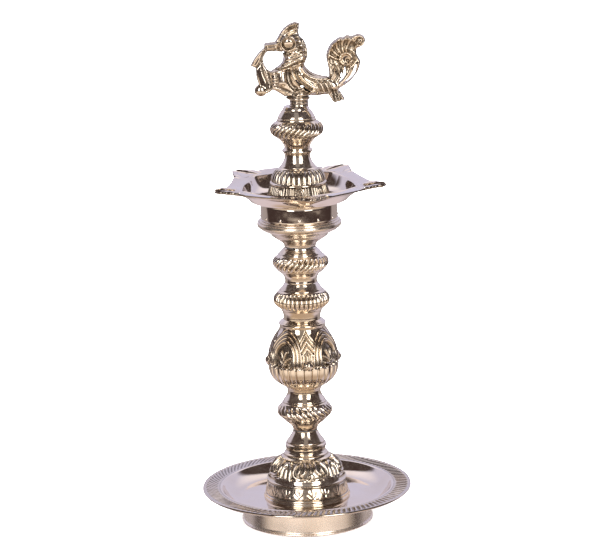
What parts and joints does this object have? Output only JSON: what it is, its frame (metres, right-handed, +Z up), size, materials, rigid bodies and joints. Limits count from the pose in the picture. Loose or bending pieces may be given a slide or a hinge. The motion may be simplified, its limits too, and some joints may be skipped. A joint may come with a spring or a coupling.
{
  "type": "brass standing oil lamp",
  "caption": "Turned and cast brass oil lamp: drip dish on a ring foot, knopped stem with a lotus vase, star-shaped oil tray with wick spouts, and a bird finial; its sections unscrew",
  "frame": {"origin": "centre of the ring foot's underside, on the surface that the lamp stands on", "axes": "+Z up the stem, the bird's bill towards -X, the front wick spout near -Y"},
  "size_m": [0.147, 0.147, 0.352],
  "materials": {
    "satin_brass": "spun sheet, satin brushed round the ring",
    "polished_brass": "mirror polished, pale",
    "cast_brass": "cast, polished on the high spots and darker in the recesses",
    "turned_brass": "turned and threaded, bright",
    "plated_steel": "zinc plated",
    "seal_rubber": "matt black"
  },
  "bodies": {
    "base": {"ring_foot": "satin_brass", "base_dish": "polished_brass", "foot_bell": "cast_brass", "base_stud": "turned_brass", "base_washer": "plated_steel", "base_nut": "plated_steel"},
    "stem_seal": {"stem_seal": "seal_rubber"},
    "stem": {"lower_knop": "cast_brass", "vase": "cast_brass", "fluted_knop": "cast_brass", "twisted_knop": "cast_brass", "stem_rod": "turned_brass", "stem_locknut": "turned_brass"},
    "tray_seal": {"tray_seal": "seal_rubber"},
    "tray": {"tray_cup": "cast_brass", "oil_tray": "polished_brass", "tray_stud": "turned_brass", "tray_washer": "seal_rubber", "tray_nut": "turned_brass"},
    "finial_seal": {"finial_seal": "seal_rubber"},
    "finial": {"upper_bell": "cast_brass", "finial_knop": "cast_brass", "finial_rod": "turned_brass", "bird_finial": "cast_brass"}
  },
  "joints": [
    {"name": "stem_lift", "type": "slide", "parent": "base", "child": "stem_seal", "axis": [0, 0, 1], "range_m": [0, 0.00715]},
    {"name": "stem_turn", "type": "hinge", "parent": "stem_seal", "child": "stem", "pos_m": [0, 0, 0.0652], "axis": [0, 0, 1], "range_deg": [0, 1620]},
    {"name": "tray_lift", "type": "slide", "parent": "stem", "child": "tray_seal", "axis": [0, 0, 1], "range_m": [0, 0.00715]},
    {"name": "tray_turn", "type": "hinge", "parent": "tray_seal", "child": "tray", "pos_m": [0, 0, 0.1967], "axis": [0, 0, 1], "range_deg": [0, 1620]},
    {"name": "finial_lift", "type": "slide", "parent": "tray", "child": "finial_seal", "axis": [0, 0, 1], "range_m": [0, 0.00715]},
    {"name": "finial_turn", "type": "hinge", "parent": "finial_seal", "child": "finial", "pos_m": [0, 0, 0.2268], "axis": [0, 0, 1], "range_deg": [0, 1620]}
  ],
  "couplings": [
    {"joint": "stem_lift", "follows": "stem_turn", "m_per_rad": 0.00025266},
    {"joint": "tray_lift", "follows": "tray_turn", "m_per_rad": 0.00025266},
    {"joint": "finial_lift", "follows": "finial_turn", "m_per_rad": 0.00025266}
  ]
}
